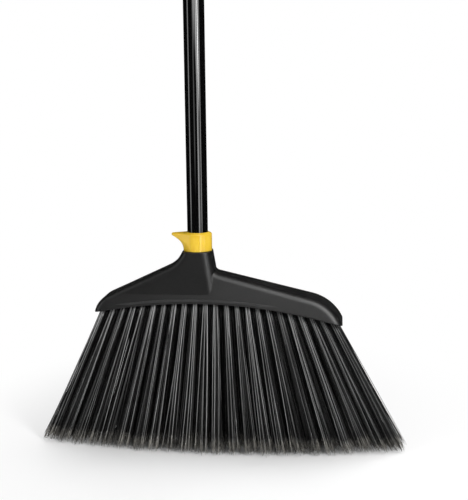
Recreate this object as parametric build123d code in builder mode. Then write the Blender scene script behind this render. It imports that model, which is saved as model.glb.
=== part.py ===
from build123d import *
import os
from math import atan2, cos, degrees, radians, sin, sqrt, tan

# An angled floor broom: a moulded hood with a tufted block inside it, a beaked
# locking collar on its neck, and a handle of two tubes joined by a sleeve.
# Millimetres, +Z up. The trimmed bristle ends stand on the floor at z = 0, and
# the origin is under the middle of the sweep, with the front facing -Y.

# Overall reach, from the floor and from the handle's axis
overall_height = 1400
reach_left = 153
reach_right = 191
sweep_depth_middle = 62
sweep_depth_ends = 24
handle_x = (reach_left - reach_right) / 2

# Fits: radial play of a sliding tube and a turning collar, and the gap at a seat
slide_fit = 0.1
turn_fit = 0.1
press_gap = 0.03
seat_gap = 0.2
clear_gap = 0.3

# Hood, seen from the front: an arched rim, two sloping shoulders, two round ends
rim_height = 141
arch_radius = 500
head_left = 96.2
head_right = 133.8
head_height = 47
left_slope = 25.2
right_slope = 14.2
left_shoulder_rise = 45.2
right_shoulder_rise = 32.5
left_corner_radius = 20
right_corner_radius = 42
left_sweep_start = 28.5
right_sweep_radius = 5
right_sweep_flare = 9

# Hood, seen from the end: faces that lean in towards a rounded upper edge
head_depth = 41
depth_drop = 10
face_lean = 13.5
edge_round = 6.8
shell_wall = 2.6
neck_step = 0.9
neck_round = 9
web_inset = 0.6
crease_rise = 8

# Socket and collet for the handle, above and inside the neck
socket_wall = 2.8
socket_base = 2.7
collet_wall = 1.5
collet_slots = 4
collet_slot_width = 1.6
collet_slot_depth = 10
bead_height = 0.35
bead_width = 1.6
bead_level = 2

# Ribs and screw bosses under the hood's roof, by distance from the handle's axis
rib_thickness = 2
rib_places = [-72, -36, 58, 104]
screw_tufts = [3, 12, 17]
boss_diameter = 7

# Tufted block: layers measured up from the rim
block_recess = 2
slice_thickness = 2
block_thickness = 9
block_play = 0.15

# Tufts and their strands
row_count = 5
row_edge = 2.7
row_tufts = 23
tuft_margin_left = 9.2
tuft_margin_right = 11.5
strand_radius = 0.9
strand_root = 1.2
strand_tip = 3.2
strand_bite = 1.2
strand_sides = 3
end_lift = 5.5
lift_start = 0.6

# Flat wire staple that anchors a tuft in the block
staple_width = 3.6
staple_thickness = 0.6
staple_height = 1.9
staple_lift = 0.6
staple_play = 0.08

# Screws that hold the block up against the bosses
screw_diameter = 2.5
screw_head_diameter = 4.4
screw_head_height = 1.8
screw_grip = 4
screw_play = 0.2
screw_lift = 0.8
drive_width = 0.9
drive_share = 0.7
drive_depth = 1

# Collar with a beak to turn it by
collar_wall = 1.95
collar_height = 16.3
collar_lip = 3.2
collar_bevel = 0.8
lip_rise = 1
lip_width = 2.2
lip_land = 0.4
beak_reach = 24.4
beak_tip_radius = 2
beak_lip = 1.4
beak_lead = 0.4
beak_curve = 2.5
beak_sections = 5

# Handle: lower tube, sleeve, upper tube
tube_diameter = 19
tube_wall = 0.7
tip_height = 3
tip_bevel = 1.2
plug_length = 26
sleeve_bottom = 856
sleeve_length = 109
sleeve_wall = 3
sleeve_lip = 0.4
sleeve_lip_height = 3
sleeve_cone = 12
sleeve_mouth = 1
lower_insert = 50
sleeve_web = 4
connector_diameter = 15.6
connector_length = 25

# Grip and hanging cap
grip_length = 116
grip_wall = 1.75
grip_taper = 20
grip_end_wall = 0.7
grip_bevel = 0.8
cap_flange = 3
cap_inset = 0.9
eye_height = 29
eye_width = 16
eye_thickness = 9
eye_round = 2
slot_width = 6.6
slot_height = 15
slot_roof = 5
slot_bevel = 0.8

# Values that follow from the sizes above
tube_radius = tube_diameter / 2
bore_radius = tube_radius - tube_wall
neck_top = rim_height + head_height
collet_bore = tube_radius + slide_fit
collet_radius = collet_bore + collet_wall
collar_bore = collet_radius + turn_fit
collar_radius = collar_bore + collar_wall
neck_radius = collar_radius + neck_step
collar_bottom = neck_top + seat_gap
collar_top = collar_bottom + collar_height
collet_top = collar_top - collar_lip - seat_gap
block_bottom = block_recess + slice_thickness
block_top = block_bottom + block_thickness
socket_floor = rim_height + block_top + block_play + socket_base
eye_bottom = overall_height - eye_height
handle_top = eye_bottom - cap_flange
sleeve_top = sleeve_bottom + sleeve_length
lower_top = sleeve_bottom + lower_insert
connector_floor = lower_top + sleeve_web
upper_bottom = connector_floor + connector_length + seat_gap
hood_floor = rim_height - head_height
half_depth = head_depth / 2
depth_level = rim_height - depth_drop
socket_radius = collet_bore + socket_wall
web = neck_radius - web_inset

# The left cheek leans less than the face below it, so that it runs up flush into the neck
crease_level = rim_height + crease_rise
crease_half = half_depth - (crease_level - depth_level) * tan(radians(face_lean))
cheek_lean = degrees(atan2(crease_half - neck_radius, neck_top - crease_level))

front = Plane(origin=(handle_x, 0, 0), x_dir=(1, 0, 0), z_dir=(0, -1, 0))
handle_axis = Axis((handle_x, 0, 0), (0, 0, 1))


def level(height):
    return Plane(origin=(handle_x, 0, height))


def rim(x, rise=0):
    """Height of the arched rim, or of a layer above it, at a place along the head."""
    return rim_height - arch_radius + sqrt((arch_radius + rise) ** 2 - x ** 2)


def corner_start(rise, slope, end, radius):
    """Where a shoulder line turns into the round end that runs down to the rim."""
    along = Vector(cos(radians(slope)), -sin(radians(slope)))
    down = Vector(-sin(radians(slope)), -cos(radians(slope)))
    reach = Vector(end, rim(end)) - Vector(0, rim_height + rise)
    drop = reach.dot(down)
    run = reach.dot(along) - sqrt(drop * (2 * radius - drop))
    return Vector(0, rim_height + rise) + along * run


def hood(inset, raised=False):
    """The hood's outer form, or its raised cheek with the neck, drawn in by an even wall."""
    left_end = Vector(-head_left, rim(head_left))
    right_end = Vector(head_right, rim(head_right))
    left_start = corner_start(left_shoulder_rise, left_slope, head_left, left_corner_radius)
    left_start = Vector(-left_start.X, left_start.Y)
    right_start = corner_start(right_shoulder_rise, right_slope, head_right, right_corner_radius)
    left_rise = Vector(cos(radians(left_slope)), sin(radians(left_slope)))
    right_fall = Vector(cos(radians(right_slope)), -sin(radians(right_slope)))
    sweep_foot = left_start + left_rise * ((-left_sweep_start - left_start.X) / left_rise.X)
    flare = tan(radians(right_sweep_flare))
    fall = tan(radians(right_slope))
    fall_top = rim_height + right_shoulder_rise
    notch_x = (web + (neck_top - fall_top) * flare) / (1 - fall * flare)
    notch = Vector(notch_x, fall_top - notch_x * fall)
    wall_foot = Vector(web + (neck_top - hood_floor) * flare, hood_floor)
    lean, half, height = face_lean, half_depth, depth_level
    if raised:
        lean, half, height = cheek_lean, crease_half, crease_level

    with BuildPart() as form:
        with BuildSketch(front):
            with BuildLine():
                Line((-head_left, hood_floor), left_end)
                TangentArc(left_start, left_end, tangent=-left_rise)
                Line(left_start, sweep_foot)
                TangentArc(sweep_foot, (-web, neck_top), tangent=left_rise)
                Line((-web, neck_top), (web, neck_top))
                if raised:
                    Line((web, neck_top), wall_foot)
                    Line(wall_foot, (-head_left, hood_floor))
                else:
                    FilletPolyline((web, neck_top), notch, right_start, radius=right_sweep_radius)
                    TangentArc(right_start, right_end, tangent=right_fall)
                    Line(right_end, (head_right, hood_floor))
                    Line((head_right, hood_floor), (-head_left, hood_floor))
            make_face()
            if inset > 0:
                offset(amount=-inset)
        extrude(amount=head_depth, both=True)
        for side in (-1, 1):
            outward = Vector(0, side * cos(radians(lean)), sin(radians(lean)))
            face = Plane(origin=Vector(0, side * half, height) - outward * inset, z_dir=outward)
            split(bisect_by=face, keep=Keep.BOTTOM)
        faces = form.faces().sort_by(Axis.Y)
        outline = (faces[0].edges() + faces[-1].edges()).sort_by(Axis.Z)[2:-2]
        if raised:
            fillet(outline.filter_by(lambda edge: edge.center().X > handle_x), neck_round - inset)
            outline = outline.filter_by(lambda edge: edge.center().X < handle_x)
        fillet(outline, edge_round - inset)
    return form.part


def layer(low, high):
    """An arched layer across the whole head, between two rises above the rim."""
    with BuildPart() as band:
        with BuildSketch(front):
            with Locations((0, rim_height - arch_radius)):
                Circle(arch_radius + high)
                Circle(arch_radius + low, mode=Mode.SUBTRACT)
            with Locations((0, rim_height)):
                Rectangle(4 * (head_left + head_right), 2 * overall_height, mode=Mode.INTERSECT)
            with Locations((0, rim_height - arch_radius)):
                Rectangle(2 * arch_radius, overall_height, align=(Align.CENTER, Align.MIN), mode=Mode.INTERSECT)
        extrude(amount=head_depth, both=True)
    return band.part


# Where the tufts stand: rows front to back, fanned out, their trim rising at both ends
first_tuft = tuft_margin_left - head_left
root_span = head_right - tuft_margin_right - first_tuft
tuft_pitch = root_span / (row_tufts - 1)
tip_margin = strand_tip + strand_radius
fan = (reach_left + reach_right - 2 * tip_margin) / root_span
lean_in = (depth_drop + block_bottom) * tan(radians(face_lean))
block_half = half_depth - lean_in - (shell_wall + block_play) / cos(radians(face_lean))
row_reach = block_half - row_edge
row_pitch = 2 * row_reach / (row_count - 1)


def tuft(row, place):
    """Root, trimmed end and spread at that end of one tuft, from the handle's axis."""
    root = Vector(first_tuft + place * tuft_pitch, row * row_pitch - row_reach)
    floor_x = tip_margin - reach_left + (root.X - first_tuft) * fan
    across = 2 * (root.X - first_tuft) / root_span - 1
    depth = sweep_depth_ends + (sweep_depth_middle - sweep_depth_ends) * (1 - across ** 2)
    spread = Vector(strand_tip, strand_tip * depth / sweep_depth_middle)
    floor_y = root.Y / row_reach * (depth / 2 - spread.Y - strand_radius)
    lift = end_lift * max(0, (abs(across) - lift_start) / (1 - lift_start)) ** 2
    return root, Vector(floor_x, floor_y, lift), spread


def row_places(row):
    """Places along one row: every other row is set half a pitch over."""
    if row % 2:
        return [place + 0.5 for place in range(row_tufts - 1)]
    if row == row_count // 2:
        return [place for place in range(row_tufts) if place not in screw_tufts]
    return list(range(row_tufts))


screw_spots = [Vector(first_tuft + place * tuft_pitch, 0) for place in screw_tufts]
tuft_rows = [[tuft(row, place) for place in row_places(row)] for row in range(row_count)]
tuft_spots = [root for row in tuft_rows for root, floor, spread in row]

os.makedirs("parts", exist_ok=True)

outer_form = hood(0)
outer_cheek = hood(0, raised=True)
inner_form = hood(shell_wall)
inner_cheek = hood(shell_wall, raised=True)
block_form = hood(shell_wall + block_play)

# Ribs, socket tube and bosses that stay standing between the roof and the block
with BuildPart() as stiffeners:
    with BuildSketch(level(0)):
        with Locations([(place, 0) for place in rib_places]):
            Rectangle(rib_thickness, head_depth)
        Circle(socket_radius)
        with Locations([(spot.X, spot.Y) for spot in screw_spots]):
            Circle(boss_diameter / 2)
    extrude(amount=overall_height)
    add(layer(block_top + block_play, head_height + rim_height), mode=Mode.INTERSECT)

socket_side = Plane(origin=(handle_x - socket_radius - shell_wall, 0, 0), z_dir=(1, 0, 0))

with BuildPart() as hollow:
    add(inner_cheek)
    split(bisect_by=socket_side, keep=Keep.BOTTOM)
    add(inner_form)
    add(stiffeners.part, mode=Mode.SUBTRACT)

# Hood: moulded shell with the neck, the slotted collet and the handle's socket
with BuildPart() as head_shell:
    add(outer_form)
    add(outer_cheek)
    with BuildSketch(front):
        with Locations((0, rim_height - arch_radius)):
            Circle(arch_radius)
    extrude(amount=head_depth, both=True, mode=Mode.SUBTRACT)
    add(hollow.part, mode=Mode.SUBTRACT)
    with BuildSketch(front):
        with BuildLine():
            bead_foot = neck_top + bead_level
            Polyline(
                (0, neck_top - socket_wall),
                (collet_radius, neck_top - socket_wall),
                (collet_radius, bead_foot),
                (collet_radius + bead_height, bead_foot + bead_width / 2),
                (collet_radius, bead_foot + bead_width),
                (collet_radius, collet_top),
                (0, collet_top),
                close=True,
            )
        make_face()
    revolve(axis=handle_axis)
    with BuildSketch(level(socket_floor)):
        Circle(collet_bore)
    extrude(amount=collet_top - socket_floor, mode=Mode.SUBTRACT)
    with BuildSketch(level(collet_top - collet_slot_depth)):
        with PolarLocations(0, collet_slots // 2, angular_range=180):
            Rectangle(4 * collet_radius, collet_slot_width)
    extrude(amount=collet_slot_depth, mode=Mode.SUBTRACT)
    with Locations([(handle_x + spot.X, spot.Y, rim(spot.X, block_top)) for spot in screw_spots]):
        Cylinder(screw_diameter / 2 + press_gap, 2 * screw_grip, mode=Mode.SUBTRACT)
head_shell.part.label = "head_shell"
export_step(head_shell.part, "parts/head_shell.step")

# Block: arched bar inside the hood's rim, slotted for the staples
with BuildPart() as bristle_block:
    add(layer(block_bottom, block_top))
    add(block_form, mode=Mode.INTERSECT)
    with Locations([(handle_x + spot.X, spot.Y, rim(spot.X, block_bottom)) for spot in tuft_spots]):
        Box(
            staple_width + 2 * staple_play,
            staple_thickness + 2 * staple_play,
            2 * (staple_lift + staple_height + staple_play),
            mode=Mode.SUBTRACT,
        )
    with Locations([(handle_x + spot.X, spot.Y, rim(spot.X, block_bottom)) for spot in screw_spots]):
        Cylinder(screw_diameter / 2 + screw_play, 3 * block_thickness, mode=Mode.SUBTRACT)
        Cylinder(
            screw_head_diameter / 2 + screw_play,
            2 * (screw_head_height + screw_lift),
            mode=Mode.SUBTRACT,
        )
bristle_block.part.label = "bristle_block"
export_step(bristle_block.part, "parts/bristle_block.step")

# Staples: one flat wire anchor in the slot above each tuft
with BuildPart() as tuft_staples:
    with Locations([(handle_x + spot.X, spot.Y, rim(spot.X, block_bottom + staple_lift)) for spot in tuft_spots]):
        Box(staple_width, staple_thickness, staple_height, align=(Align.CENTER, Align.CENTER, Align.MIN))
tuft_staples.part.label = "tuft_staples"
export_step(tuft_staples.part, "parts/tuft_staples.step")

# Screws: pan heads recessed in the block, shanks up into the bosses
with BuildPart() as block_screws:
    for spot in screw_spots:
        head_bottom = rim(spot.X, block_bottom) + screw_lift
        seat = Plane(origin=(handle_x + spot.X, spot.Y, head_bottom))
        with BuildSketch(seat):
            Circle(screw_head_diameter / 2)
        extrude(amount=screw_head_height)
        with BuildSketch(seat):
            Circle(screw_diameter / 2)
        extrude(amount=rim(spot.X, block_top) + screw_grip - screw_diameter / 2 - head_bottom)
        with BuildSketch(seat):
            Rectangle(screw_head_diameter * drive_share, drive_width)
            Rectangle(drive_width, screw_head_diameter * drive_share)
        extrude(amount=drive_depth, mode=Mode.SUBTRACT)
block_screws.part.label = "block_screws"
export_step(block_screws.part, "parts/block_screws.step")


def strand(root, floor):
    """One straight-sided strand, from inside the backing slice down to the floor."""
    with BuildSketch(Plane(origin=floor)) as foot:
        RegularPolygon(strand_radius, strand_sides)
    run = root - floor
    return extrude(foot.sketch, amount=run.length, dir=run, mode=Mode.PRIVATE)


# Bristle rows: each a strip of the block's face with its strands
slice_form = layer(block_recess, block_bottom)
for row in range(row_count):
    strands = []
    for root, floor, spread in tuft_rows[row]:
        for side_x in (-1, 1):
            for side_y in (-1, 1):
                top = root + Vector(side_x, side_y) * strand_root
                foot = floor + Vector(side_x * spread.X, side_y * spread.Y)
                top_height = rim(top.X, block_recess + strand_bite)
                strands.append(
                    strand(
                        Vector(handle_x + top.X, top.Y, top_height),
                        Vector(handle_x + foot.X, foot.Y, foot.Z),
                    )
                )
    outermost = row in (0, row_count - 1)
    strip_y = row * row_pitch - row_reach
    strip_align = Align.CENTER
    strip_width = row_pitch
    if outermost:
        strip_align = Align.MAX if row == 0 else Align.MIN
        strip_width = head_depth
        strip_y += row_pitch / 2 if row == 0 else -row_pitch / 2
    with BuildPart() as bristle_row:
        add(slice_form)
        add(block_form, mode=Mode.INTERSECT)
        with BuildSketch(level(0)):
            with Locations((0, strip_y)):
                Rectangle(4 * head_right, strip_width, align=(Align.CENTER, strip_align))
        extrude(amount=overall_height, mode=Mode.INTERSECT)
        if row == row_count // 2:
            with Locations([(handle_x + spot.X, spot.Y, rim(spot.X, block_recess)) for spot in screw_spots]):
                Cylinder(screw_head_diameter / 2 + screw_play, 4 * slice_thickness, mode=Mode.SUBTRACT)
        add(strands)
    name = f"bristle_row_{row + 1}"
    bristle_row.part.label = name
    export_step(bristle_row.part, f"parts/{name}.step")

# Collar: a ring round the collet, drawn out on one side into a beak
beak_centre = beak_reach - beak_tip_radius
beak_sine = (collar_radius - beak_tip_radius) / beak_centre
bevel_level = collar_top - collar_bevel
beak_rise = collar_height - collar_bevel - beak_lip
lip_bore = tube_radius + clear_gap
lip_top = collar_top + lip_rise


def beak_profile(reach, inset=0):
    """The ring drawn out to one side, its cheeks at the same angle at every reach."""
    Circle(collar_radius - inset)
    with Locations((-reach, 0)):
        Circle(collar_radius - inset - reach * beak_sine)
    make_hull()


with BuildPart() as lock_collar:
    for section in range(beak_sections):
        share = section / (beak_sections - 1)
        with BuildSketch(level(collar_bottom + share * beak_rise)):
            beak_profile(beak_lead + (beak_centre - beak_lead) * share ** beak_curve)
    loft()
    with BuildSketch(level(collar_bottom + beak_rise)):
        beak_profile(beak_centre)
    extrude(amount=beak_lip)
    with BuildSketch(level(bevel_level)):
        beak_profile(beak_centre)
    with BuildSketch(level(collar_top)):
        beak_profile(beak_centre, inset=collar_bevel)
    loft(ruled=True)
    with BuildSketch(front):
        with BuildLine():
            Polyline(
                (0, bevel_level),
                (lip_bore + lip_width, bevel_level),
                (lip_bore + lip_width, collar_top),
                (lip_bore + lip_land, lip_top),
                (0, lip_top),
                close=True,
            )
        make_face()
    revolve(axis=handle_axis)
    with BuildSketch(front):
        with BuildLine():
            groove_foot = neck_top + bead_level - clear_gap
            groove_width = bead_width + 2 * clear_gap
            Polyline(
                (0, collar_bottom),
                (collar_bore, collar_bottom),
                (collar_bore, groove_foot),
                (collar_bore + bead_height + turn_fit, groove_foot + groove_width / 2),
                (collar_bore, groove_foot + groove_width),
                (collar_bore, collar_top - collar_lip),
                (lip_bore, collar_top - collar_lip),
                (lip_bore, lip_top),
                (0, lip_top),
                close=True,
            )
        make_face()
    revolve(axis=handle_axis, mode=Mode.SUBTRACT)
lock_collar.part.label = "lock_collar"
export_step(lock_collar.part, "parts/lock_collar.step")


def turned(*points):
    """A solid turned about the handle's axis from a closed half profile."""
    with BuildPart() as solid:
        with BuildSketch(front):
            with BuildLine():
                Polyline(*points, close=True)
            make_face()
        revolve(axis=handle_axis)
    return solid.part


# Tip: plastic plug that closes the handle's lower end and stands in the socket
tip_bottom = socket_floor + seat_gap
lower_bottom = tip_bottom + tip_height
with BuildPart() as handle_tip:
    with BuildSketch(level(tip_bottom)):
        Circle(tube_radius)
    extrude(amount=tip_height)
    chamfer(handle_tip.edges().sort_by(Axis.Z)[0], tip_bevel)
    with BuildSketch(level(lower_bottom)):
        Circle(bore_radius - press_gap)
    extrude(amount=plug_length)
handle_tip.part.label = "handle_tip"
export_step(handle_tip.part, "parts/handle_tip.step")

# Lower and upper tubes
for name, bottom, top in (("lower_tube", lower_bottom, lower_top), ("upper_tube", upper_bottom, handle_top)):
    with BuildPart() as tube:
        with BuildSketch(level(bottom)):
            Circle(tube_radius)
            Circle(bore_radius, mode=Mode.SUBTRACT)
        extrude(amount=top - bottom)
    tube.part.label = name
    export_step(tube.part, f"parts/{name}.step")

# Sleeve: fixed on the lower tube, open at the top for the upper one
sleeve_radius = tube_radius + sleeve_wall
with BuildPart() as coupling_sleeve:
    add(
        turned(
            (0, sleeve_bottom),
            (sleeve_radius + sleeve_lip, sleeve_bottom),
            (sleeve_radius + sleeve_lip, sleeve_bottom + sleeve_lip_height),
            (sleeve_radius, sleeve_bottom + sleeve_lip_height + sleeve_lip),
            (sleeve_radius, sleeve_top - sleeve_cone - sleeve_lip_height - sleeve_lip),
            (sleeve_radius + sleeve_lip, sleeve_top - sleeve_cone - sleeve_lip_height),
            (sleeve_radius + sleeve_lip, sleeve_top - sleeve_cone),
            (tube_radius + slide_fit + sleeve_mouth, sleeve_top),
            (0, sleeve_top),
        )
    )
    for bottom, top, radius in (
        (sleeve_bottom, lower_top, tube_radius + press_gap),
        (connector_floor, sleeve_top, connector_diameter / 2 + slide_fit),
        (connector_floor + connector_length, sleeve_top, tube_radius + slide_fit),
    ):
        with BuildSketch(level(bottom)):
            Circle(radius)
        extrude(amount=top - bottom, mode=Mode.SUBTRACT)
coupling_sleeve.part.label = "coupling_sleeve"
export_step(coupling_sleeve.part, "parts/coupling_sleeve.step")

# Connector: plug in the upper tube whose nose goes down into the sleeve
with BuildPart() as tube_connector:
    with BuildSketch(level(upper_bottom)):
        Circle(connector_diameter / 2)
    extrude(amount=-connector_length)
    chamfer(tube_connector.edges().sort_by(Axis.Z)[0], tip_bevel)
    with BuildSketch(level(upper_bottom)):
        Circle(bore_radius - press_gap)
    extrude(amount=plug_length)
tube_connector.part.label = "tube_connector"
export_step(tube_connector.part, "parts/tube_connector.step")

# Grip: sheath on the upper tube, tapered at its lower end
grip_bottom = handle_top - grip_length
with BuildPart() as hand_grip:
    add(
        turned(
            (tube_radius + press_gap, grip_bottom),
            (tube_radius + grip_end_wall, grip_bottom),
            (tube_radius + grip_wall, grip_bottom + grip_taper),
            (tube_radius + grip_wall, handle_top),
            (tube_radius + press_gap, handle_top),
        )
    )
    chamfer(hand_grip.faces().sort_by(Axis.Z)[-1].edges().sort_by(SortBy.LENGTH)[-1], grip_bevel)
hand_grip.part.label = "hand_grip"
export_step(hand_grip.part, "parts/hand_grip.step")

# Hanging cap: plug and flange on the upper tube, with a slotted eye above
with BuildPart() as hang_cap:
    with BuildSketch(front):
        with Locations((0, eye_bottom)):
            Rectangle(eye_width, eye_height - eye_width / 2, align=(Align.CENTER, Align.MIN))
        with Locations((0, overall_height - eye_width / 2)):
            Circle(eye_width / 2)
    extrude(amount=eye_thickness / 2, both=True)
    sides = hang_cap.faces().sort_by(Axis.Y)
    rims = (sides[0].edges() + sides[-1].edges()).sort_by(Axis.Z)
    fillet(rims[2:], eye_round)
    with BuildSketch(front):
        with Locations((0, overall_height - slot_roof - slot_height / 2)):
            SlotOverall(slot_height, slot_width, rotation=90)
    extrude(amount=eye_thickness, both=True, mode=Mode.SUBTRACT)
    sides = hang_cap.faces().sort_by(Axis.Y)
    chamfer(sides[0].inner_wires()[0].edges() + sides[-1].inner_wires()[0].edges(), slot_bevel)
    with BuildSketch(level(handle_top)):
        Circle(tube_radius + grip_wall - cap_inset)
    extrude(amount=cap_flange)
    with BuildSketch(level(handle_top)):
        Circle(bore_radius - press_gap)
    extrude(amount=-plug_length)
hang_cap.part.label = "hang_cap"
export_step(hang_cap.part, "parts/hang_cap.step")
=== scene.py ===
import bpy
import math
import numpy as np
from mathutils import Matrix, Vector


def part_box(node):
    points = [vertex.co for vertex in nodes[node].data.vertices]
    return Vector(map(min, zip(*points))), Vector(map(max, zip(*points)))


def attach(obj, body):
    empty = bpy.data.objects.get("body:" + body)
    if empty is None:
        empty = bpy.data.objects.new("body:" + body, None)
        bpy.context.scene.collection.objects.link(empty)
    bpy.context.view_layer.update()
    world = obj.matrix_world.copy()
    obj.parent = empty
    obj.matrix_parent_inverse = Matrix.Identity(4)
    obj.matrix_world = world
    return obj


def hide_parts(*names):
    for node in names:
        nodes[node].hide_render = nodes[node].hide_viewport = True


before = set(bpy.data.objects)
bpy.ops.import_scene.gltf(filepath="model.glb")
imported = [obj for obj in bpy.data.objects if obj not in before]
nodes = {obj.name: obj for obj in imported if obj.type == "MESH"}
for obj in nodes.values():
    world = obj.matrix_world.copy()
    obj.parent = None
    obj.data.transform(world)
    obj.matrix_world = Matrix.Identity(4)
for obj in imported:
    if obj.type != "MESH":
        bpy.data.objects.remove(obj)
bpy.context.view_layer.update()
print("frame loaded,", len(nodes), "nodes")

halfway = 0.5                                                        # the middle of a noise, a tone or a step

# a Mix node repeats its socket names for each data type, so its colour sockets go by number
mixSockets = {"factor": 0, "first": 6, "second": 7, "result": 2}


class Wire:
    # a socket that takes part in Python sums: each sum adds one Math node
    def __init__(self, tree, socket=None):
        self.tree = tree
        self.socket = socket

    def node(self, kind, settings=None, values=None, out=0):
        made = self.tree.nodes.new("ShaderNode" + kind)
        for name, value in (settings or {}).items():
            setattr(made, name, value)
        for name, value in (values or {}).items():
            if isinstance(value, Wire):
                self.tree.links.new(value.socket, made.inputs[name])
            else:
                made.inputs[name].default_value = value
        return Wire(self.tree, made.outputs[out] if made.outputs else None)

    def maths(self, operation, *terms):
        return self.node("Math", {"operation": operation}, dict(enumerate(terms)))

    def __add__(self, other):
        return self.maths("ADD", self, other)

    def __sub__(self, other):
        return self.maths("SUBTRACT", self, other)

    def __rsub__(self, other):
        return self.maths("SUBTRACT", other, self)

    def __mul__(self, other):
        return self.maths("MULTIPLY", self, other)

    def __pow__(self, other):
        return self.maths("POWER", self, other)

    __radd__ = __add__
    __rmul__ = __mul__

    def step(self, low, high, start=0.0, end=1.0):
        # soft step of this value between two limits
        values = {"Value": self, "From Min": low, "From Max": high, "To Min": start, "To Max": end}
        return self.node("MapRange", {"interpolation_type": "SMOOTHSTEP"}, values)

    def around(self, level, spread):
        # a level that this value, which runs from 0 to 1, shifts down and up
        return level + (self - halfway) * spread

    def blend(self, first, second):
        # two colours mixed by this value
        at = mixSockets
        values = {at["factor"]: self, at["first"]: colour(first), at["second"]: colour(second)}
        return self.node("Mix", {"data_type": "RGBA"}, values, at["result"])


def colour(value):
    return value if isinstance(value, Wire) else (*value, 1)


def newFinish(name):
    finish = bpy.data.materials.new(name)
    finish.use_nodes = True
    finish.node_tree.nodes.clear()
    return finish, Wire(finish.node_tree)


def closeFinish(wire, sockets):
    shader = wire.node("BsdfPrincipled", None, sockets)
    wire.node("OutputMaterial", None, {"Surface": shader})


def noise(wire, place, kind):
    # the settings give a noise as its scale, detail and roughness
    scale, detail, roughness = kind
    values = {"Vector": place, "Scale": scale, "Detail": detail, "Roughness": roughness}
    return wire.node("TexNoise", None, values)


def stretched(wire, scale):
    # object coordinates in metres, drawn out or squeezed along each axis
    place = wire.node("TexCoord", out="Object")
    return wire.node("Mapping", None, {"Vector": place, "Scale": scale})


edgeSamples = 6


def grained(wire, height, s):
    # bump over edges that are softened by a small radius
    edge = wire.node("Bevel", {"samples": edgeSamples}, {"Radius": s["edge"]})
    values = {"Height": height, "Strength": s["depth"], "Distance": s["bump"], "Normal": edge}
    return wire.node("Bump", None, values)


# Moulded plastics: satin hood, plain block and plugs, sleeve, grip

moulding = {
    "flowStretch": (14, 14, 40), "flow": (1.0, 4.0, 0.55), "flowShare": 0.6,         # faint flow marks
    "speck": (420.0, 2.0, 0.55), "speckShare": 0.4, "speckHeight": 0.5,
    "toneLow": 0.3, "toneHigh": 0.7,
    "rubbed": (55.0, 5.0, 0.65), "grainSpread": 0.04,
    "ior": 1.48, "bump": 0.00012,
}
plastics = {
    "hood": {
        "dark": (0.0062, 0.0062, 0.0063), "light": (0.0100, 0.0099, 0.0097),
        "gloss": 0.30, "roughness": 0.36, "spread": 0.10,
        "grain": (2600, 2.0, 0.7), "depth": 0.10, "edge": 0.0016,
    },
    "block": {
        "dark": (0.008, 0.008, 0.008), "light": (0.014, 0.014, 0.014),
        "gloss": 0.5, "roughness": 0.55, "spread": 0.08,
        "grain": (1800, 2.0, 0.7), "depth": 0.15, "edge": 0.0005,
    },
    "plug": {
        "dark": (0.012, 0.012, 0.012), "light": (0.02, 0.02, 0.02),
        "gloss": 0.5, "roughness": 0.5, "spread": 0.08,
        "grain": (1800, 2.0, 0.7), "depth": 0.12, "edge": 0.0005,
    },
    "sleeve": {
        "dark": (0.006, 0.006, 0.006), "light": (0.010, 0.010, 0.010),
        "gloss": 0.5, "roughness": 0.26, "spread": 0.06,
        "grain": (1500, 2.0, 0.7), "depth": 0.05, "edge": 0.0006,
    },
    "grip": {
        "dark": (0.008, 0.008, 0.008), "light": (0.014, 0.014, 0.014),
        "gloss": 0.5, "roughness": 0.42, "spread": 0.10,
        "grain": (1100, 2.0, 0.7), "depth": 0.22, "edge": 0.0006,
    },
}


def mouldedFinish(name):
    s = moulding | plastics[name]
    finish, wire = newFinish(name + "Plastic")
    place = wire.node("TexCoord", out="Object")
    flow = noise(wire, stretched(wire, s["flowStretch"]), s["flow"])
    speck = noise(wire, place, s["speck"])
    grain = noise(wire, place, s["grain"])
    rubbed = noise(wire, place, s["rubbed"])
    tone = (flow * s["flowShare"] + speck * s["speckShare"]).step(s["toneLow"], s["toneHigh"])
    closeFinish(wire, {
        "Base Color": tone.blend(s["dark"], s["light"]),
        "Roughness": grain.around(rubbed.around(s["roughness"], s["spread"]), s["grainSpread"]),
        "IOR": s["ior"],
        "Specular IOR Level": s["gloss"],
        "Normal": grained(wire, grain + speck * s["speckHeight"], s),
    })
    return finish


# Yellow gloss collar

collarLook = {
    "deep": (0.80, 0.510, 0.034), "clear": (0.86, 0.575, 0.055), "toneLow": 0.3, "toneHigh": 0.7,
    "cloud": (90.0, 4.0, 0.55), "cloudSpread": 0.10, "cloudHeight": 2,
    "speck": (900.0, 2.0, 0.55), "speckSpread": 0.05,
    "roughness": 0.17, "ior": 1.49,
    "soak": 0.06, "soakReach": (0.004, 0.002, 0.0005),               # light that soaks into the plastic
    "depth": 0.05, "bump": 0.0001, "edge": 0.0007,
}


def collarFinish():
    s = collarLook
    finish, wire = newFinish("collarPlastic")
    place = wire.node("TexCoord", out="Object")
    cloud = noise(wire, place, s["cloud"])
    speck = noise(wire, place, s["speck"])
    closeFinish(wire, {
        "Base Color": cloud.step(s["toneLow"], s["toneHigh"]).blend(s["deep"], s["clear"]),
        "Roughness": speck.around(cloud.around(s["roughness"], s["cloudSpread"]), s["speckSpread"]),
        "IOR": s["ior"],
        "Subsurface Weight": s["soak"],
        "Subsurface Radius": s["soakReach"],
        "Normal": grained(wire, speck + cloud * s["cloudHeight"], s),
    })
    return finish


# Gloss black coating on the two tubes

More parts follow.
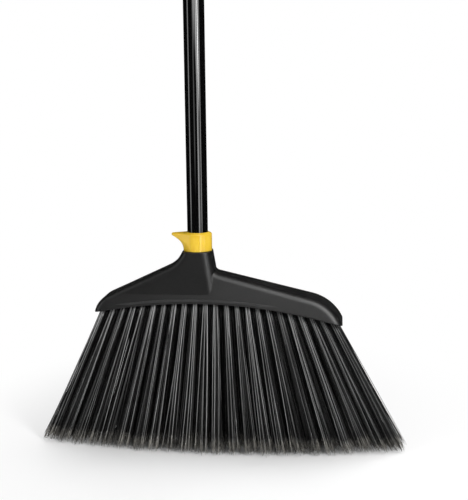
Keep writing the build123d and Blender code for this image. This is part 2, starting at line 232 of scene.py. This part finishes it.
tubeLook = {
    "coat": (0.0018, 0.0018, 0.0019), "worn": (0.0035, 0.0035, 0.0035), "roughness": 0.045, "ior": 1.5,
    "peel": (330.0, 2.0, 0.55),                                      # orange peel of the powder coat
    "hazeStretch": (30, 30, 9), "haze": (1.0, 5.0, 0.6),
    "hazeLow": 0.4, "hazeHigh": 0.8, "hazeShare": 0.7, "hazeSpread": 0.08,
    "dust": (1900.0, 1.0, 0.55),
    "dustLow": 0.70, "dustHigh": 0.78, "dustShare": 0.3, "dustSpread": 0.1,
    "depth": 0.03, "bump": 0.0002, "edge": 0.0003,
}


def tubeFinish():
    s = tubeLook
    finish, wire = newFinish("tubeCoating")
    place = wire.node("TexCoord", out="Object")
    peel = noise(wire, place, s["peel"])
    haze = noise(wire, stretched(wire, s["hazeStretch"]), s["haze"])
    dust = noise(wire, place, s["dust"]).step(s["dustLow"], s["dustHigh"])
    wear = haze.step(s["hazeLow"], s["hazeHigh"]) * s["hazeShare"] + dust * s["dustShare"]
    closeFinish(wire, {
        "Base Color": wear.blend(s["coat"], s["worn"]),
        "Roughness": haze.around(s["roughness"], s["hazeSpread"]) + dust * s["dustSpread"],
        "IOR": s["ior"],
        "Normal": grained(wire, peel, s),
    })
    return finish


# Plain steel of the staples and screws

steelLook = {
    "clean": (0.56, 0.56, 0.57), "dull": (0.40, 0.39, 0.38), "roughness": 0.30, "spread": 0.2,
    "drawnStretch": (300, 4000, 4000), "drawn": (1.0, 3.0, 0.55),    # lines of the drawn wire
    "stain": (240.0, 4.0, 0.55), "stainLow": 0.35, "stainHigh": 0.7,
    "depth": 0.1, "bump": 0.00005, "edge": 0.0002,
}


def steelFinish():
    s = steelLook
    finish, wire = newFinish("fixingSteel")
    place = wire.node("TexCoord", out="Object")
    drawn = noise(wire, stretched(wire, s["drawnStretch"]), s["drawn"])
    stain = noise(wire, place, s["stain"])
    closeFinish(wire, {
        "Base Color": stain.step(s["stainLow"], s["stainHigh"]).blend(s["clean"], s["dull"]),
        "Roughness": drawn.around(s["roughness"], s["spread"]),
        "Metallic": 1.0,
        "Normal": grained(wire, drawn, s),
    })
    return finish


# Bristle fibre: each filament has its own tone, which holds painted glints and painted shade, the stems are
# painted lighter at the roots and darker towards the tips, and the split ends go paler

fibreLook = {
    "dark": (0.004, 0.004, 0.0041), "pale": (0.65, 0.653, 0.65),
    "tipDark": (0.020, 0.0195, 0.0175), "tipPale": (0.56, 0.537, 0.485),
    "patch": (70.0, 3.0, 0.55), "patchLow": 0.75, "patchSpan": 0.5,
    # painted light: rootShade and shadeFall make the stems lighter at the roots and darker towards the tips
    "rootShade": 1.1, "shadeFall": 0.6, "tipPower": 0.5, "tipLow": 0.5,
    "frayStart": 0.87, "frayFull": 0.98, "frayPatch": 0.2,
    "roughness": 0.34, "tipRoughness": 0.65, "toneSpread": 0.12, "gloss": 0.22, "ior": 1.5,
}


def fibreFinish():
    s = fibreLook
    finish, wire = newFinish("bristleFibre")
    tone = wire.node("Attribute", {"attribute_name": "tone"}, out="Fac")
    along = wire.node("Attribute", {"attribute_name": "along"}, out="Fac")
    place = wire.node("TexCoord", out="Object")
    patch = noise(wire, place, s["patch"])
    # painted light and shade: lighter at the roots, darker towards the tips, on top of the painted glints and
    # shade in the tone
    shade = tone * (s["patchLow"] + patch * s["patchSpan"]) * (s["rootShade"] - along * s["shadeFall"])
    frayed = patch.around(along, s["frayPatch"]).step(s["frayStart"], s["frayFull"])
    stem = shade.blend(s["dark"], s["pale"])
    # the paler split ends still carry the painted glints and painted shade of the tone
    tip = (tone ** s["tipPower"] * (s["tipLow"] + patch)).blend(s["tipDark"], s["tipPale"])
    rough = s["roughness"] + frayed * (s["tipRoughness"] - s["roughness"])
    closeFinish(wire, {
        "Base Color": frayed.blend(stem, tip),
        "Roughness": tone.around(rough, s["toneSpread"]),
        "IOR": s["ior"],
        "Specular IOR Level": s["gloss"],
    })
    return finish


finishes = {name: mouldedFinish(name) for name in plastics}
finishes["collar"] = collarFinish()
finishes["tube"] = tubeFinish()
finishes["steel"] = steelFinish()
finishes["fibre"] = fibreFinish()

cadFinishes = {
    "head_shell": "hood", "bristle_block": "block", "block_screws": "steel", "tuft_staples": "steel",
    "lock_collar": "collar", "handle_tip": "plug", "lower_tube": "tube", "coupling_sleeve": "sleeve",
    "tube_connector": "plug", "upper_tube": "tube", "hand_grip": "grip", "hang_cap": "grip",
}
for nodeName, finishName in cadFinishes.items():
    nodes[nodeName].material_slots[0].material = finishes[finishName]
print("finishes made,", len(finishes))


# Bristles: one filament with a split end is modelled once, then set out tuft by tuft

bristles = {
    "seed": 7,
    # the hood's arched rim and the strip of the block behind each row
    "rimHeight": 0.141, "archRadius": 0.5, "rootRise": 0.003,
    "backingLow": 0.002, "backingHigh": 0.004, "backingCuts": 24, "backingSlack": 1e-5,
    # rows, and the roots and ends of their tufts
    "rows": 5, "rowReach": 0.01161, "tufts": 23, "stagger": 0.5, "screwTufts": (3, 12, 17),
    "firstTuft": -0.087, "rootSpan": 0.2093, "tipLeft": -0.1489, "tipRight": 0.1869,
    "sweepMiddle": 0.062, "sweepEnds": 0.024, "tipMargin": 0.0041,
    # one filament: lengths are shares of its length, radii and spreads are in its own radius
    "sides": 3, "segments": 7, "splitAt": 0.90, "overlap": 0.01,
    "hairs": 3, "hairShorter": 0.16, "hairRoot": 0.55, "hairTip": 0.26,
    "hairKnee": 0.45, "hairStart": 0.42, "hairSpread": 0.7, "hairCurve": 0.4,
    # the filaments of a tuft
    "filaments": 38, "radius": 0.00039, "thickness": (0.85, 1.12), "turnStep": 2.39996, "turnRange": 6.28,
    "rootRadius": 0.0024, "tipRadius": 0.0062, "widen": 1.25,
    "wander": 0.0011, "strayShare": 0.07, "strayReach": 2.6, "bow": 0.0006, "scatterLimit": 1.7,
    "trim": 0.003, "trimPower": 2, "tuftTrim": 0.0013,
    # their tones, from 0 to 1: pale filaments are painted glints, and the darker inner filaments and rows are
    # painted shade
    "glintMarks": (-0.75, -0.25, 0.25, 0.75), "markShift": 0.12, "markPull": 0.5, "shell": 0.6,
    "pale": (0.2, 0.95), "grey": (0.025, 0.12), "dull": (0.003, 0.03),
    # painted shade: the three inner rows are darker, and endShade darkens the tufts towards both ends
    "rowPaintedShade": (1.0, 0.12, 0.08, 0.12, 1.0), "endShade": 0.5, "tuftTone": (0.8, 1),
}
handleX = (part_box("lower_tube")[0].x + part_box("lower_tube")[1].x) / 2
lengthways = (1, 0, 0)
upright = (0, 0, 1)


def deselect():
    bpy.ops.object.select_all(action="DESELECT")


def cutAcross(axis, places):
    # plane cuts through the active piece, square to an axis
    bpy.ops.object.mode_set(mode="EDIT")
    for place in places:
        bpy.ops.mesh.select_all(action="SELECT")
        bpy.ops.mesh.bisect(plane_co=Vector(axis) * place, plane_no=axis)
    bpy.ops.object.mode_set(mode="OBJECT")


def takeMesh(piece):
    # corners and faces of a piece that is then no longer needed
    corners = np.array([v.co for v in piece.data.vertices])
    faces = [tuple(f.vertices) for f in piece.data.polygons]
    bpy.data.objects.remove(piece)
    return corners, faces


def modelStem():
    s = bristles
    length = s["splitAt"] + s["overlap"]
    deselect()
    bpy.ops.mesh.primitive_cylinder_add(
        vertices=s["sides"], radius=1, depth=length, location=(0, 0, -length / 2))
    stem = bpy.context.object
    bpy.ops.object.transform_apply()
    cutAcross(upright, [-cut * s["splitAt"] / s["segments"] for cut in range(1, s["segments"])])
    return stem


def modelHair(hair):
    # one of the split ends: each is shorter and spreads wider than the one before
    s = bristles
    turn = 2 * math.pi * hair / s["hairs"]
    length = (1 - s["splitAt"]) * (1 - s["hairShorter"] * hair)
    deselect()
    bpy.ops.mesh.primitive_cone_add(
        vertices=s["sides"], radius1=s["hairTip"], radius2=s["hairRoot"], depth=length,
        location=(0, 0, -s["splitAt"] - length / 2))
    split = bpy.context.object
    bpy.ops.object.transform_apply()
    cutAcross(upright, [-s["splitAt"] - length * s["hairKnee"]])
    for corner in split.data.vertices:
        share = (-corner.co.z - s["splitAt"]) / length
        spread = s["hairStart"] + share * s["hairSpread"] * (1 + hair) * (s["hairCurve"] + share)
        corner.co.x += spread * math.cos(turn)
        corner.co.y += spread * math.sin(turn)
    return split


def modelFilament():
    # hangs from the origin, one unit long and one unit in radius
    stem = modelStem()
    pieces = [stem] + [modelHair(hair) for hair in range(bristles["hairs"])]
    deselect()
    for piece in pieces:
        piece.select_set(True)
    bpy.context.view_layer.objects.active = stem
    bpy.ops.object.join()
    return takeMesh(stem)


def rimHeight(x, rise):
    s = bristles
    return s["rimHeight"] - s["archRadius"] + np.sqrt((s["archRadius"] + rise) ** 2 - np.square(x))


def tuftPlaces(row):
    # places along a row: every other row is staggered, and the middle one leaves out the screws
    s = bristles
    if row % 2:
        return [place + s["stagger"] for place in range(s["tufts"] - 1)]
    skipped = s["screwTufts"] if row == s["rows"] // 2 else ()
    return [place for place in range(s["tufts"]) if place not in skipped]


def tuftEnds(row, place):
    # root and trimmed end of a tuft's middle line, from the handle's axis
    s = bristles
    share = place / (s["tufts"] - 1)
    across = 2 * share - 1
    rootX = s["firstTuft"] + share * s["rootSpan"]
    rootY = (row / (s["rows"] - 1) * 2 - 1) * s["rowReach"]
    depth = s["sweepEnds"] + (s["sweepMiddle"] - s["sweepEnds"]) * (1 - across ** 2)
    tipX = s["tipLeft"] + share * (s["tipRight"] - s["tipLeft"])
    tipY = rootY / s["rowReach"] * (depth / 2 - s["tipMargin"])
    root = (rootX, rootY, rimHeight(rootX, s["rootRise"]))
    return np.array(root), np.array((tipX, tipY, 0)), depth / s["sweepMiddle"]


def scatter(count, dice):
    # sideways shifts about zero, none of them far out
    limit = bristles["scatterLimit"]
    return np.clip(dice.normal(0, 1, (count, 2)), -limit, limit)


def tuftTones(disc, shade, dice):
    # grey outside, dull inside as painted shade, and pale filaments as painted glints spread evenly over the
    # front and the back
    s = bristles
    count = len(disc)
    # painted shade: the inner filaments of a tuft are darker than the outer ones
    outer = np.abs(disc[:, 1]) > s["shell"] * np.sqrt(1 - disc[:, 0] ** 2)
    tone = np.where(outer, dice.uniform(*s["grey"], count), dice.uniform(*s["dull"], count))
    # painted highlights: a few filaments on each face are made pale like glints
    for face in (-1, 1):
        marks = np.array(s["glintMarks"])
        marks = marks + dice.uniform(-1, 1, len(marks)) * s["markShift"]
        cost = np.abs(disc[:, :1] - marks) - face * s["markPull"] * disc[:, 1:]
        tone[cost.argmin(axis=0)] = dice.uniform(*s["pale"], len(marks))
    return tone * (shade * dice.uniform(*s["tuftTone"]))


def setTuft(template, root, tip, squeeze, rowPaintedShade, dice):
    # every filament of one tuft: an even disc at the root that widens to an uneven one at the tip
    s = bristles
    count = s["filaments"]
    order = np.arange(count) + halfway
    reach = np.sqrt(order / count)
    turn = order * s["turnStep"] + dice.uniform(0, s["turnRange"])
    disc = np.stack([reach * np.cos(turn), reach * np.sin(turn)], axis=1)
    stray = scatter(count, dice) * s["wander"]
    stray[dice.uniform(0, 1, count) < s["strayShare"]] *= s["strayReach"]         # a few filaments splay out
    bow = scatter(count, dice) * s["bow"]
    trim = dice.uniform(0, 1, count) ** s["trimPower"] * s["trim"] + dice.uniform(0, s["tuftTrim"])
    spin = dice.uniform(0, s["turnRange"], count)
    thick = s["radius"] * dice.uniform(*s["thickness"], count)
    tone = tuftTones(disc, rowPaintedShade * squeeze ** s["endShade"], dice)              # painted shade: darker towards both ends

    along = -template[:, 2]
    rootSpread = disc * s["rootRadius"]
    tipSpread = (disc * s["tipRadius"] + stray) * np.array((1, squeeze))
    points = np.repeat([root + (tip - root) * along[:, None]], count, axis=0)
    lean = rootSpread[:, None] + (tipSpread - rootSpread)[:, None] * (along ** s["widen"])[:, None]
    wave = bow[:, None] * np.sin(math.pi * along)[:, None]
    points[:, :, :2] += lean + wave
    points[:, :, 2] += trim[:, None] * along
    cosine, sine = np.cos(spin)[:, None], np.sin(spin)[:, None]
    points[:, :, 0] += handleX + thick[:, None] * (template[:, 0] * cosine - template[:, 1] * sine)
    points[:, :, 1] += thick[:, None] * (template[:, 0] * sine + template[:, 1] * cosine)
    return points.reshape(-1, 3), np.repeat(tone, len(along)), np.tile(along, count)


def modelBacking(row):
    # the strip of the block's face that this row stands in, arched like the rim
    s = bristles
    corners = np.array([v.co for v in nodes[f"bristle_row_{row + 1}"].data.vertices])
    face = rimHeight(corners[:, 0] - handleX, s["backingLow"]) - s["backingSlack"]
    strip = corners[corners[:, 2] > face]
    low, high = strip.min(axis=0), strip.max(axis=0)
    middle, span = (low + high) / 2, high - low
    deselect()
    bpy.ops.mesh.primitive_cube_add(size=1, location=(middle[0], middle[1], 0), scale=(span[0], span[1], 1))
    backing = bpy.context.object
    bpy.ops.object.transform_apply()
    cuts = s["backingCuts"]
    cutAcross(lengthways, [low[0] + span[0] * cut / cuts for cut in range(1, cuts)])
    for corner in backing.data.vertices:
        rise = s["backingHigh"] if corner.co.z > 0 else s["backingLow"]
        corner.co.z = float(rimHeight(corner.co.x - handleX, rise))
    return takeMesh(backing)


def modelRow(row, template, templateFaces, dice):
    points, faces = modelBacking(row)
    backingFaces = len(faces)
    allPoints = [points]
    tones = [np.zeros(len(points))]
    shares = [np.zeros(len(points))]
    start = len(points)
    for place in tuftPlaces(row):
        root, tip, squeeze = tuftEnds(row, place)
        # painted shade: the inner rows are darker
        rowPaintedShade = bristles["rowPaintedShade"][row]
        tuftPoints, tuftTone, tuftShares = setTuft(template, root, tip, squeeze, rowPaintedShade, dice)
        allPoints.append(tuftPoints)
        tones.append(tuftTone)
        shares.append(tuftShares)
        for copy in range(bristles["filaments"]):
            faces.extend(tuple(c + start for c in face) for face in templateFaces)
            start += len(template)
    mesh = bpy.data.meshes.new(f"bristles_row_{row + 1}")
    mesh.from_pydata(np.concatenate(allPoints).tolist(), [], faces)
    for name, values in (("tone", tones), ("along", shares)):
        layer = mesh.attributes.new(name, "FLOAT", "POINT")
        layer.data.foreach_set("value", np.concatenate(values).astype(np.float32))
    mesh.materials.append(finishes["fibre"])
    mesh.materials.append(finishes["block"])
    onBacking = [n < backingFaces for n in range(len(faces))]
    mesh.polygons.foreach_set("material_index", [int(flat) for flat in onBacking])
    mesh.polygons.foreach_set("use_smooth", [not flat for flat in onBacking])
    piece = bpy.data.objects.new(mesh.name, mesh)
    bpy.context.scene.collection.objects.link(piece)
    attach(piece, "head")
    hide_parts(f"bristle_row_{row + 1}")
    return len(faces)


dice = np.random.default_rng(bristles["seed"])
filament, filamentFaces = modelFilament()
for row in range(bristles["rows"]):
    print("bristle row", row + 1, "faces", modelRow(row, filament, filamentFaces, dice))


# Pale floor that keeps the shadow near the broom and goes white further out

floorLook = {
    "size": 60, "colour": (0.92, 0.92, 0.92), "stretch": (1.3, 1, 1),
    "fadeStart": 0.10, "fadeEnd": 0.42, "flagStart": 0.25, "flagEnd": 0.85,
}
shownRays = ("Is Camera Ray", "Is Glossy Ray", "Is Transmission Ray")


def seen(wire):
    # 1 where the camera looks, straight or by way of gloss or glass
    camera, glossy, clear = (wire.node("LightPath", out=name) for name in shownRays)
    return wire.maths("MINIMUM", camera + glossy + clear, 1)


def makeFloor():
    s = floorLook
    deselect()
    bpy.ops.mesh.primitive_plane_add(size=s["size"])
    floor = bpy.context.object
    floor.name = "studioFloor"
    finish, wire = newFinish("paleFloor")
    reach = wire.node("VectorMath", {"operation": "LENGTH"}, {0: stretched(wire, s["stretch"])}, out="Value")
    glossy = wire.node("LightPath", out="Is Glossy Ray")
    flagged = glossy * reach.step(s["flagStart"], s["flagEnd"])      # reflections fade into the dark flags
    matt = wire.node("BsdfDiffuse", None, {"Color": colour(s["colour"])})
    glow = wire.node("Emission", None, {"Color": 1 - flagged})
    white = seen(wire) * reach.step(s["fadeStart"], s["fadeEnd"])
    mixed = wire.node("MixShader", None, {0: white, 1: matt, 2: glow})
    wire.node("OutputMaterial", None, {"Surface": mixed})
    floor.data.materials.append(finish)


# Light tent: dark flags with light strips, seen only in reflections

halfTurn = 180
tentLook = {
    "radius": 0.85, "height": 2.4, "sunk": 0.05, "sides": 64, "glow": 0.004, "top": 0.004,
    "footFade": 0.12, "fadeFrom": 0.3, "fadeTo": 0.06,               # the last two count down from the height
    "strips": (
        # middle and half width in degrees from the front, edge softness, strength, height it starts at
        (29, 4, 2, 8.0, -0.01), (40, 4, 2, 3.0, -0.01), (59, 4, 2, 5.0, -0.01), (-65, 4, 3, 4.2, 0.02),
        (-8, 4, 3, 1.6, 0.13), (4, 6, 4, 7.0, 0.39), (22, 4, 4, 6.0, 0.33), (44, 3, 2, 26.0, 0.28),
    ),
}


def makeTent():
    s = tentLook
    deselect()
    bpy.ops.mesh.primitive_cylinder_add(
        vertices=s["sides"], radius=s["radius"], depth=s["height"],
        location=(0, 0, s["height"] / 2 - s["sunk"]))
    tent = bpy.context.object
    tent.name = "lightTent"
    bpy.ops.object.transform_apply()
    finish, wire = newFinish("tentLight")
    place = wire.node("TexCoord", out="Object")
    x, y, z = (wire.node("SeparateXYZ", None, {0: place}, out=axis) for axis in "XYZ")
    angle = wire.maths("DEGREES", wire.maths("ARCTAN2", x, 0 - y))
    light = s["glow"]
    for middle, half, soft, strength, foot in s["strips"]:
        away = wire.maths("ABSOLUTE", wire.maths("WRAP", angle - middle, halfTurn, -halfTurn))
        light = light + away.step(half, half + soft, strength, 0) * z.step(foot, foot + s["footFade"])
    wall = z.step(s["height"] - s["fadeFrom"], s["height"] - s["fadeTo"], 1, 0)
    glow = wire.node("Emission", None, {"Color": light * wall + s["top"]})
    wire.node("OutputMaterial", None, {"Surface": glow})
    finish.cycles.emission_sampling = "NONE"
    tent.data.materials.append(finish)
    tent.visible_camera = False
    tent.visible_diffuse = False
    tent.visible_transmission = False
    tent.visible_shadow = False
    tent.visible_volume_scatter = False


# Lamps, world and camera

lamps = {
    "overhead": {"place": (0.35, 0.35, 2.1), "aim": (0, 0, 0), "size": 1.3, "power": 28},
    "key": {"place": (1.3, -1.25, 1.0), "aim": (0, 0, 0.12), "size": 0.4, "power": 25},
    "fill": {"place": (-1.2, -1.0, 0.6), "aim": (0, 0, 0.15), "size": 0.8, "power": 7},
}
skyLook = {"colour": (1, 1, 1), "ambient": 0.18}
photoCamera = {
    "place": (0.10835, -0.81377, 0.333), "lens": 64.87, "sensor": 36,
    "level": 90, "pitch": 10.01, "yaw": 6.57, "roll": -0.63,         # an unturned camera looks straight down
}


def makeLamps():
    for name, s in lamps.items():
        bpy.ops.object.light_add(type="AREA", location=s["place"])
        lamp = bpy.context.object
        lamp.name = name
        lamp.rotation_euler = (Vector(s["aim"]) - Vector(s["place"])).to_track_quat("-Z", "Y").to_euler()
        lamp.data.size = s["size"]
        lamp.data.energy = s["power"]
        lamp.visible_glossy = False


def makeWorld():
    s = skyLook
    world = bpy.data.worlds.new("studioWorld")
    world.use_nodes = True
    world.node_tree.nodes.clear()
    wire = Wire(world.node_tree)
    strength = s["ambient"] + seen(wire) * (1 - s["ambient"])
    sky = wire.node("Background", None, {"Color": colour(s["colour"]), "Strength": strength})
    wire.node("OutputWorld", None, {"Surface": sky})
    bpy.context.scene.world = world


def makeCamera():
    s = photoCamera
    turned = Matrix.Rotation(math.radians(s["yaw"]), 4, "Z")
    tilted = Matrix.Rotation(math.radians(s["level"] - s["pitch"]), 4, "X")
    rolled = Matrix.Rotation(math.radians(s["roll"]), 4, "Z")
    bpy.ops.object.camera_add(location=s["place"], rotation=(turned @ tilted @ rolled).to_euler())
    camera = bpy.context.object
    camera.data.lens = s["lens"]
    camera.data.sensor_width = s["sensor"]
    bpy.context.scene.camera = camera


makeFloor()
makeTent()
makeLamps()
makeWorld()
makeCamera()
bpy.context.scene.view_settings.view_transform = "Standard"
print("studio ready")
